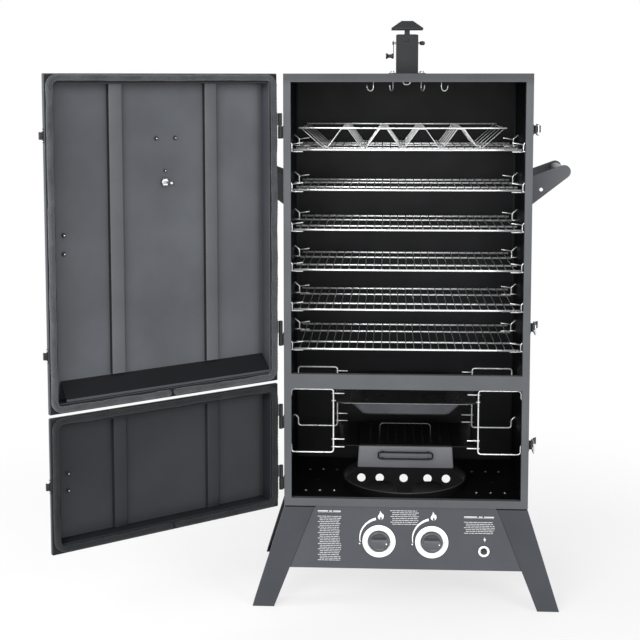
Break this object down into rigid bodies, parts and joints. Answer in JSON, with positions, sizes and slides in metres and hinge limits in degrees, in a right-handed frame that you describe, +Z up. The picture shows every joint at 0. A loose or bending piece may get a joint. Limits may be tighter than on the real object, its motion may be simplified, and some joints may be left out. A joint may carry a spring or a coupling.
{
  "type": "electric cabinet smoker",
  "caption": "Upright double-door cabinet smoker on splayed legs, with wire racks, a water pan, a chip box, two burners under the floor and a chimney with a damper.",
  "frame": {"origin": "on the ground, at the centre of the footprint of the whole object with both doors at their display angle", "axes": "+Z up; the front of the cabinet, with the doors and control panel, faces -Y"},
  "size_m": [1.2956, 0.8572, 1.568],
  "materials": {
    "painted_steel": "fine-textured charcoal powder coat",
    "painted_steel_dark": "dark satin powder coat",
    "chrome_wire": "bright plated wire",
    "black_enamel": "gloss black vitreous enamel",
    "rope_gasket": "braided glass-fibre rope, charcoal",
    "plain_steel": "zinc-plated steel",
    "black_plastic": "fine matt moulding",
    "grip_plastic": "pale grey satin sleeve",
    "brass_fitting": "machined",
    "dial_steel": "polished bezel",
    "burner_iron": "sand-cast, blackened",
    "handle_black": "satin black"
  },
  "bodies": {
    "cabinet": {"left_side_panel": "painted_steel", "right_side_panel": "painted_steel", "back_panel": "painted_steel", "top_panel": "painted_steel", "front_frame": "painted_steel", "control_panel": "painted_steel", "rear_skirt": "painted_steel", "left_skirt": "painted_steel", "right_skirt": "painted_steel", "front_left_leg": "painted_steel", "front_right_leg": "painted_steel", "rear_left_leg": "painted_steel", "rear_right_leg": "painted_steel", "chimney_tube": "painted_steel", "chimney_cap": "painted_steel", "left_handle_bracket": "painted_steel", "right_handle_bracket": "painted_steel", "floor_panel": "painted_steel_dark", "upper_hinge_top": "painted_steel_dark", "upper_hinge_bottom": "painted_steel_dark", "lower_hinge_top": "painted_steel_dark", "lower_hinge_bottom": "painted_steel_dark", "burner_bracket": "plain_steel", "left_handle_grip": "grip_plastic", "right_handle_grip": "grip_plastic", "gas_manifold": "brass_fitting", "burner_left": "burner_iron", "burner_right": "burner_iron"},
    "damper": {"damper_plate": "painted_steel", "damper_shaft": "plain_steel", "damper_crank": "black_plastic"},
    "upper_door": {"upper_door_shell": "painted_steel", "upper_door_gasket": "rope_gasket", "upper_drip_ledge": "painted_steel_dark", "upper_door_handle": "handle_black", "thermometer_case": "dial_steel", "thermometer_nut": "plain_steel"},
    "pointer": {"thermometer_pointer": "black_plastic"},
    "lower_door": {"lower_door_shell": "painted_steel", "lower_door_gasket": "rope_gasket", "lower_door_handle": "handle_black"},
    "latch_lever_1": {"latch_lever_1": "handle_black"},
    "latch_loop_1": {"latch_loop_1": "plain_steel"},
    "latch_lever_2": {"latch_lever_2": "handle_black"},
    "latch_loop_2": {"latch_loop_2": "plain_steel"},
    "latch_lever_3": {"latch_lever_3": "handle_black"},
    "latch_loop_3": {"latch_loop_3": "plain_steel"},
    "rack_1": {"rack_1": "chrome_wire"},
    "rack_2": {"rack_2": "chrome_wire"},
    "rack_3": {"rack_3": "chrome_wire"},
    "rack_4": {"rack_4": "chrome_wire"},
    "rack_5": {"rack_5": "chrome_wire"},
    "rack_6": {"rack_6": "chrome_wire"},
    "rib_rack": {"rib_rack": "chrome_wire"},
    "water_pan": {"water_pan": "black_enamel"},
    "chip_box": {"chip_box": "black_enamel"},
    "chip_lid": {"chip_lid": "black_enamel"},
    "knob_left": {"knob_left": "black_plastic"},
    "knob_right": {"knob_right": "black_plastic"},
    "igniter_button": {"igniter_button": "black_plastic"}
  },
  "joints": [
    {"name": "upper_door_swing", "type": "hinge", "parent": "cabinet", "child": "upper_door", "pos_m": [-0.11966, -0.0259, 1.02], "axis": [0, 0, -1], "range_deg": [-142.07, 33]},
    {"name": "lower_door_swing", "type": "hinge", "parent": "cabinet", "child": "lower_door", "pos_m": [-0.11966, -0.0259, 0.446], "axis": [0, 0, -1], "range_deg": [-142.07, 33]},
    {"name": "rack_1_slide", "type": "slide", "parent": "cabinet", "child": "rack_1", "axis": [0, -1, 0], "range_m": [0, 0.28]},
    {"name": "rack_2_slide", "type": "slide", "parent": "cabinet", "child": "rack_2", "axis": [0, -1, 0], "range_m": [0, 0.28]},
    {"name": "rack_3_slide", "type": "slide", "parent": "cabinet", "child": "rack_3", "axis": [0, -1, 0], "range_m": [0, 0.28]},
    {"name": "rack_4_slide", "type": "slide", "parent": "cabinet", "child": "rack_4", "axis": [0, -1, 0], "range_m": [0, 0.28]},
    {"name": "rack_5_slide", "type": "slide", "parent": "cabinet", "child": "rack_5", "axis": [0, -1, 0], "range_m": [0, 0.28]},
    {"name": "rack_6_slide", "type": "slide", "parent": "cabinet", "child": "rack_6", "axis": [0, -1, 0], "range_m": [0, 0.28]},
    {"name": "rib_rack_lift", "type": "slide", "parent": "rack_1", "child": "rib_rack", "axis": [0, 0, 1], "range_m": [0, 0.05]},
    {"name": "water_pan_slide", "type": "slide", "parent": "cabinet", "child": "water_pan", "axis": [0, -1, 0], "range_m": [0, 0.25]},
    {"name": "chip_box_slide", "type": "slide", "parent": "cabinet", "child": "chip_box", "axis": [0, -1, 0], "range_m": [0, 0.25]},
    {"name": "chip_lid_lift", "type": "slide", "parent": "chip_box", "child": "chip_lid", "axis": [0, 0, 1], "range_m": [0, 0.035]},
    {"name": "knob_left_turn", "type": "hinge", "parent": "cabinet", "child": "knob_left", "pos_m": [0.14084, -0.0294, 0.186], "axis": [0, -1, 0], "range_deg": [0, 180]},
    {"name": "knob_right_turn", "type": "hinge", "parent": "cabinet", "child": "knob_right", "pos_m": [0.28084, -0.0294, 0.186], "axis": [0, -1, 0], "range_deg": [0, 180]},
    {"name": "igniter_push", "type": "slide", "parent": "cabinet", "child": "igniter_button", "axis": [0, 1, 0], "range_m": [0, 0.004]},
    {"name": "damper_turn", "type": "hinge", "parent": "cabinet", "child": "damper", "pos_m": [0.21084, 0.2026, 1.508], "axis": [1, 0, 0], "range_deg": [0, 90]},
    {"name": "latch_1_lever", "type": "hinge", "parent": "cabinet", "child": "latch_lever_1", "pos_m": [0.53984, -0.0014, 1.2805], "axis": [0, 0, -1], "range_deg": [-9.5, 84]},
    {"name": "latch_1_loop", "type": "hinge", "parent": "latch_lever_1", "child": "latch_loop_1", "pos_m": [0.54478, 0.00994, 1.2805], "axis": [0, 0, 1], "range_deg": [-19, 168]},
    {"name": "latch_2_lever", "type": "hinge", "parent": "cabinet", "child": "latch_lever_2", "pos_m": [0.53984, -0.0014, 0.762], "axis": [0, 0, -1], "range_deg": [-9.5, 84]},
    {"name": "latch_2_loop", "type": "hinge", "parent": "latch_lever_2", "child": "latch_loop_2", "pos_m": [0.54478, 0.00994, 0.762], "axis": [0, 0, 1], "range_deg": [-19, 168]},
    {"name": "latch_3_lever", "type": "hinge", "parent": "cabinet", "child": "latch_lever_3", "pos_m": [0.53984, -0.0014, 0.447], "axis": [0, 0, -1], "range_deg": [-9.5, 84]},
    {"name": "latch_3_loop", "type": "hinge", "parent": "latch_lever_3", "child": "latch_loop_3", "pos_m": [0.54478, 0.00994, 0.447], "axis": [0, 0, 1], "range_deg": [-19, 168]},
    {"name": "pointer_turn", "type": "hinge", "parent": "upper_door", "child": "pointer", "pos_m": [-0.40272, -0.18083, 1.156], "axis": [0.6147, -0.7888, 0], "range_deg": [0, 240]}
  ],
  "couplings": [
    {"joint": "latch_1_loop", "follows": "latch_1_lever", "ratio": 2},
    {"joint": "latch_2_loop", "follows": "latch_2_lever", "ratio": 2},
    {"joint": "latch_3_loop", "follows": "latch_3_lever", "ratio": 2}
  ]
}
